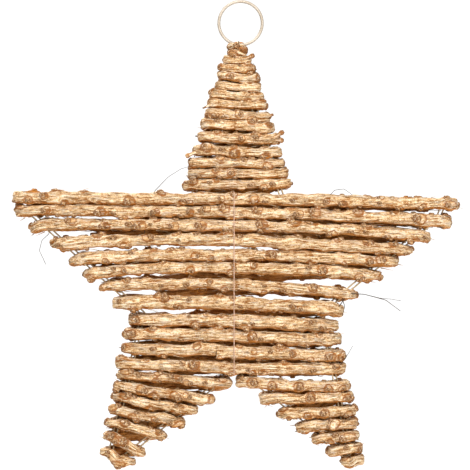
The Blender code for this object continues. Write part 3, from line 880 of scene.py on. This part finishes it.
# Side twigs of each vine, a cut stub or a thorn each: their root (x, z), their tip (x, z), how far
# the tip stands in front of the root, and their radius and knob's radius, in mm
TWIGS = {
    "vine_cone_upper": (
        ((0.5, -37.0), (7.6, -34.6), 0.0, 1.3, 1.9),
        ((-19.0, -66.5), (-24.2, -68.4), 0.0, 1.2, 0.8),
        ((5.0, -44.0), (10.0, -43.4), 0.0, 1.1, 0.8),
        ((15.5, -73.5), (20.6, -72.8), 0.0, 1.3, 1.2),
    ),
    "vine_cone_lower": (
        ((20.0, -86.0), (26.8, -84.4), 1.0, 1.5, 1.9),
        ((20.0, -88.4), (26.6, -89.4), -1.0, 1.3, 1.8),
        ((-28.0, -97.0), (-34.4, -99.4), 0.0, 1.3, 1.7),
        ((-24.0, -87.0), (-29.0, -86.6), 0.0, 1.1, 0.7),
    ),
}
# Loose fibres of each vine: their radius and their course (x, z), in mm
LOOSE_FIBRES = {
    "vine_arms_upper": (
        (0.22, ((-55.6, -122.4), (-47.0, -113.5), (-38.5, -108.0), (-30.5, -105.6))),
        (0.22, ((-124.0, -150.0), (-128.6, -154.0), (-130.3, -161.0), (-126.0, -170.3))),
        (0.22, ((57.0, -126.0), (61.0, -121.8), (67.0, -121.0), (73.0, -125.5))),
        (0.22, ((86.0, -146.0), (96.0, -145.0), (107.0, -146.6), (116.0, -145.2))),
        (0.25, ((-62.0, -158.4), (-55.0, -161.6), (-48.0, -160.0))),
    ),
    "vine_arms_lower": (
        (0.28, ((66.0, -192.0), (67.4, -197.0), (65.6, -203.5))),
        (0.25, ((-27.5, -162.4), (-21.0, -159.6), (-15.0, -161.8))),
    ),
    "vine_waist": (
        (0.30, ((70.0, -188.4), (80.0, -189.2), (94.0, -193.0), (103.7, -200.2))),
        (0.20, ((70.0, -188.4), (80.0, -189.2), (90.0, -191.7), (97.0, -192.3), (104.0, -193.4))),
    ),
    "vine_hips": (
        (0.22, ((66.0, -233.0), (68.6, -229.5), (72.8, -222.4))),
    ),
}
# A twig's shape: where its neck is, the neck's share of its radius, and the angles of the points
# of its knob. A fibre's shape: how far out in the vine it is rooted, and how much it thins.
TWIG_NECK = 0.6
TWIG_TAPER = 0.8
KNOB_ANGLES = (-60, -30, 0, 30, 60, 85)
FIBRE_ROOT = 0.6
FIBRE_TAPER = 0.5


def nearest_front(line, x, z):
    """The place on a vine's front runs nearest to a point of the star's plane, and its radius."""
    front = [(point, radius) for point, radius in line if point.y < 0.0]
    best = None
    for (start, radius), (end, _) in zip(front, front[1:]):
        span = end - start
        flat = Vector((span.x, span.z))
        reach = (Vector((x, z)) - Vector((start.x, start.z))).dot(flat)
        share = reach / max(flat.length_squared, WELD)
        place = start + span * min(max(share, 0.0), 1.0)
        away = math.hypot(place.x - x, place.z - z)
        if best is None or away < best[0]:
            best = (away, place, radius)
    return best[1], best[2]


def twig_line(line, root, tip, forward, radius, knob):
    """A side twig from inside the vine to its tip, with a knob at its end."""
    start = nearest_front(line, root[0] * MM, root[1] * MM)[0]
    end = Vector((tip[0] * MM, start.y - forward * MM, tip[1] * MM))
    heading = (end - start).normalized()
    twig = [(start, radius * MM), (start.lerp(end, TWIG_NECK), radius * TWIG_TAPER * MM)]
    for degrees in KNOB_ANGLES:
        along = math.sin(math.radians(degrees)) * knob
        twig.append((end + heading * along * MM, math.cos(math.radians(degrees)) * knob * MM))
    return twig


def fibre_line(line, radius, course):
    """A loose fibre: rooted on the vine, then free in front of it, thinning to its tip."""
    root, girth = nearest_front(line, course[0][0] * MM, course[0][1] * MM)
    places = [root + Vector((0.0, -FIBRE_ROOT * girth, 0.0))]
    places += [Vector((x * MM, places[0].y, z * MM)) for x, z in course]
    return [(place, radius * MM * (1.0 - FIBRE_TAPER * i / len(places)))
            for i, place in enumerate(places)]


# The seeds of the vines' random draws
FIRST_SEED = 7
SEED_STEP = 100

bark = gilded_bark()
vines = vine_tree()
wound = []
for number, node in enumerate(VINE_NODES):
    path = centre_line(node)
    extras = [twig_line(path, *twig) for twig in TWIGS.get(node, ())]
    extras += [fibre_line(path, *fibre) for fibre in LOOSE_FIBRES.get(node, ())]
    extra_lines = line_object(node + "_strands", extras)
    values = dict(VINE_SIZES, Bark=bark, Strands=extra_lines)
    values["Seed"] = SEED_STEP * number + FIRST_SEED
    values["Front girth"], values["Back girth"] = GIRTH_SHARES[node]
    line = line_object(node + "_line", [drawn_out(path, SOFTENING_LOSS)])
    piece = grow("wound_" + node, line, vines, values)
    bpy.data.objects.remove(extra_lines)
    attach(piece, "root")
    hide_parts(node)
    wound.append(piece)

# -----------------------------------------------------------------------------
# The hanging ring. One turn of brass wire with its ends soldered, drawn smooth and lightly
# tarnished. It stands upright in the top of the star and hangs on a nail.

RING_POINTS = 120
RING_SIDES = 16
RING_SPACING = 0.0009
# The finish of each wire: its bright, dull and tarnished colours, and how rough it is
RING_FINISH = ((0.52, 0.45, 0.37, 1.0), (0.43, 0.36, 0.28, 1.0), (0.30, 0.22, 0.15, 1.0), 0.50)
RING_METAL = 0.60


def wire_tree():
    """Node tree that makes a smooth round wire along a line."""
    inputs = {"Line": "NodeSocketGeometry", "Finish": "NodeSocketMaterial",
              "Sides": "NodeSocketInt", "Spacing": "NodeSocketFloat"}
    tree, start, wanted = new_tree("drawn wire", inputs)
    line = start.node("GeometryNodeResampleCurve", {"mode": "LENGTH"},
                      {"Curve": wanted["Line"], "Length": wanted["Spacing"]})
    line = keep(start, line, "run", start.node("GeometryNodeSplineParameter", output="Length"))
    line = keep(start, line, "girth", start.node("GeometryNodeInputRadius"))
    skin = tube_round(start, line, wanted["Sides"])
    smooth = start.node("GeometryNodeSetShadeSmooth", {}, {"Geometry": skin})
    end_tree(start, smooth, wanted["Finish"])
    return tree


# Tarnish: the scales of its patches and specks, where the metal turns dull, where specks and
# patches are tarnished and how dark, where the metal's shine fades and to what share, and the
# spread of its roughness over the specks, whose height is in metres
PATCH_SCALE = 260.0
SPECK_SCALE = 2400.0
DULL_AT = (0.35, 0.65)
TARNISHED_SPECKS_AT = (0.55, 0.70)
TARNISHED_PATCHES_AT = (0.40, 0.60)
TARNISH = 0.7
FADED_AT = (0.55, 0.75)
FADED = 0.75
ROUGH_AT = (0.3, 0.7)
ROUGHER = 0.18
SPECK_HEIGHT = 0.00005


def wire_finish(name, bright, dull, tarnish, rough, metal=1.0):
    """Drawn metal wire: duller and tarnished in patches, with rougher specks."""
    made, start = new_material(name)
    place = start.node("ShaderNodeTexCoord", output="Object")
    patches = start.noise(place, PATCH_SCALE, 4.0, 0.65)
    specks = start.noise(place, SPECK_SCALE, 2.0, 0.6)
    colour = start.blend(patches.step(*DULL_AT), bright, dull)
    tarnished = specks.step(*TARNISHED_SPECKS_AT) * patches.step(*TARNISHED_PATCHES_AT)
    colour = start.blend(tarnished * TARNISH, colour, tarnish)
    set_shader(start, Base_Color=colour, Metallic=patches.step(*FADED_AT, metal, FADED * metal),
               Roughness=specks.step(*ROUGH_AT, rough, rough + ROUGHER),
               Normal=bump(start, specks, SPECK_HEIGHT))
    return made


def middle_and_size(node):
    """The middle and the size of a CAD node's box."""
    low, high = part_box(node)
    return (Vector(low) + Vector(high)) / 2.0, Vector(high) - Vector(low)


wires = wire_tree()
ring_middle, ring_size = middle_and_size("hanging_ring")
ring_wire_radius = ring_size.y / 2.0
ring_radius = ring_size.x / 2.0 - ring_wire_radius
ring_line = []
for i in range(RING_POINTS):
    angle = TURN * i / RING_POINTS
    out = Vector((math.sin(angle), 0.0, math.cos(angle))) * ring_radius
    ring_line.append((ring_middle + out, ring_wire_radius))
ring_brass = wire_finish("drawn_ring_brass", *RING_FINISH, RING_METAL)
ring = grow("smooth_ring", line_object("ring_line", [ring_line], closed=True), wires,
            {"Finish": ring_brass, "Sides": RING_SIDES, "Spacing": RING_SPACING})
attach(ring, "root")
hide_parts("hanging_ring")

# -----------------------------------------------------------------------------
# The frame wires. Two stars of soft steel wire 1.2 mm thick, one inside the other, bent cold and
# brass washed. They show only between the ends of the rows, and are dull and brown there.

FRAME_NODES = ("frame_wire_outer", "frame_wire_inner")
FRAME_FINISH = ((0.70, 0.54, 0.33, 1.0), (0.46, 0.32, 0.18, 1.0), (0.20, 0.11, 0.05, 1.0), 0.38)

frame_finish = wire_finish("frame_wire_finish", *FRAME_FINISH)
for node in FRAME_NODES:
    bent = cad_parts[node]
    for i in range(len(bent.material_slots)):
        bent.material_slots[i].material = frame_finish
    weld = bent.modifiers.new("weld", "WELD")
    weld.merge_threshold = WELD
    rounding = bent.modifiers.new("rounding", "SUBSURF")
    rounding.levels = 1
    rounding.render_levels = 1

# -----------------------------------------------------------------------------
# The binding wire. Thin rose-coloured craft wire, drawn taut down the middle of the star over the
# front rows and up behind the back ones, with its ends tucked between the top rows.

BINDING_FINISH = ((0.74, 0.52, 0.40, 1.0), (0.60, 0.38, 0.26, 1.0), (0.25, 0.13, 0.08, 1.0), 0.36)
BINDING_STEP = 0.001
BINDING_SIDES = 8
# How far the wire's middle lies off the bark, how far from the star's plane it is over the rows,
# how far off the rows are looked for, the slack it may pull in, and the rounds of pulling it taut
BINDING_GAP = 0.00045
OVER_ROWS = 0.003
RAY_START = 0.04
SLACK = 0.001
TAUT_ROUNDS = 80


def fine_steps(points, step):
    """Points along a polyline, no further apart than a step."""
    fine = []
    for start, end in zip(points, points[1:]):
        count = max(1, math.ceil((end - start).length / step))
        fine += [start.lerp(end, i / count) for i in range(count)]
    return fine + [points[-1]]


def rest_height(point, solids):
    """How far from the star's plane a wire on the rows lies, or None where it turns round them."""
    if abs(point.y) < OVER_ROWS:
        return None
    facing = math.copysign(1.0, point.y)
    above = Vector((point.x, facing * RAY_START, point.z))
    hits = [solid.ray_cast(above, Vector((0.0, -facing, 0.0)), RAY_START)[0] for solid in solids]
    heights = [facing * hit.y for hit in hits if hit is not None]
    return max(heights) + BINDING_GAP if heights else 0.0


def drawn_taut(points, solids):
    """A line of points pulled straight over the rows, touching only the proudest of them."""
    rests = [rest_height(point, solids) for point in points]
    heights = [abs(point.y) if rest is None else max(rest, abs(point.y) - SLACK)
               for point, rest in zip(points, rests)]
    for _ in range(TAUT_ROUNDS):
        for i in range(1, len(points) - 1):
            if rests[i] is not None:
                heights[i] = max((heights[i - 1] + heights[i + 1]) / 2.0, rests[i])
    return [Vector((point.x, math.copysign(height, point.y), point.z))
            for point, height in zip(points, heights)]


solids = [BVHTree.FromObject(piece, bpy.context.evaluated_depsgraph_get()) for piece in wound]
binding = centre_line("binding_wire")
binding_radius = binding[0][1]
laid = drawn_taut(fine_steps([point for point, _ in binding], BINDING_STEP), solids)
rose_wire = wire_finish("binding_wire_finish", *BINDING_FINISH)
line = line_object("binding_line", [[(point, binding_radius) for point in laid]])
piece = grow("taut_binding_wire", line, wires,
             {"Finish": rose_wire, "Sides": BINDING_SIDES, "Spacing": BINDING_STEP})
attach(piece, "root")
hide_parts("binding_wire")

# -----------------------------------------------------------------------------
# Floor, lights and camera. The star hangs clear above a pale floor in a white studio. One large
# soft lamp lights it from the upper left in front, a second fills it from the right, and a third
# lights its back. The camera looks straight at it from the front through a long lens.

FLOOR_HEIGHT = -0.52
FLOOR_RADIUS = 1.5
FLOOR_SIDES = 96
FLOOR_COLOUR = (0.86, 0.86, 0.85, 1.0)
FLOOR_ROUGHNESS = 0.7
# The studio's own light, and how much brighter its walls look than they light the star
AMBIENT = 0.40
WALL_EXTRA = 0.70
# Each lamp: its name, its place, its size and its power in watts
LAMPS = (
    ("key_light", (-0.30, -1.0, 0.95), 0.7, 26.5),
    ("fill_light", (0.9, -1.3, 0.1), 1.0, 16.2),
    ("back_light", (-0.5, 1.5, 0.7), 1.0, 24.0),
)
LENS = 188.5
SENSOR = 36.0
CAMERA_PLACE = (-0.0036, -1.6, -0.1508)

floor_mesh = bpy.data.meshes.new("floor")
disc = bmesh.new()
bmesh.ops.create_circle(disc, cap_ends=True, segments=FLOOR_SIDES, radius=FLOOR_RADIUS)
bmesh.ops.translate(disc, verts=disc.verts, vec=(0.0, 0.0, FLOOR_HEIGHT))
disc.to_mesh(floor_mesh)
disc.free()
floor = bpy.data.objects.new("floor", floor_mesh)
bpy.context.scene.collection.objects.link(floor)
floor_finish, start = new_material("pale_floor")
set_shader(start, Base_Color=FLOOR_COLOUR, Roughness=FLOOR_ROUGHNESS)
floor_mesh.materials.append(floor_finish)

world = bpy.data.worlds.new("studio")
bpy.context.scene.world = world
world.use_nodes = True
start = Wire(world.node_tree, world.node_tree.nodes["Background"])
seen = start.node("ShaderNodeLightPath", output="Is Camera Ray")
start.tree.links.new((seen * WALL_EXTRA + AMBIENT).socket, start.made.inputs["Strength"])
start.made.inputs["Color"].default_value = (1.0, 1.0, 1.0, 1.0)


def area_light(name, place, target, size, power):
    """A square soft light at a place, turned to its target."""
    lamp = bpy.data.lights.new(name, "AREA")
    lamp.size = size
    lamp.energy = power
    made = bpy.data.objects.new(name, lamp)
    made.location = place
    made.rotation_euler = (Vector(target) - Vector(place)).to_track_quat("-Z", "Y").to_euler()
    bpy.context.scene.collection.objects.link(made)


middle = (cad_box[0] + cad_box[1]) / 2.0
for name, place, size, power in LAMPS:
    area_light(name, place, middle, size, power)

camera = bpy.data.cameras.new("camera")
camera.lens = LENS
camera.sensor_width = SENSOR
camera_object = bpy.data.objects.new("camera", camera)
camera_object.location = CAMERA_PLACE
camera_object.rotation_euler = (math.radians(90.0), 0.0, 0.0)
bpy.context.scene.collection.objects.link(camera_object)
bpy.context.scene.camera = camera_object
bpy.context.scene.view_settings.view_transform = "Standard"
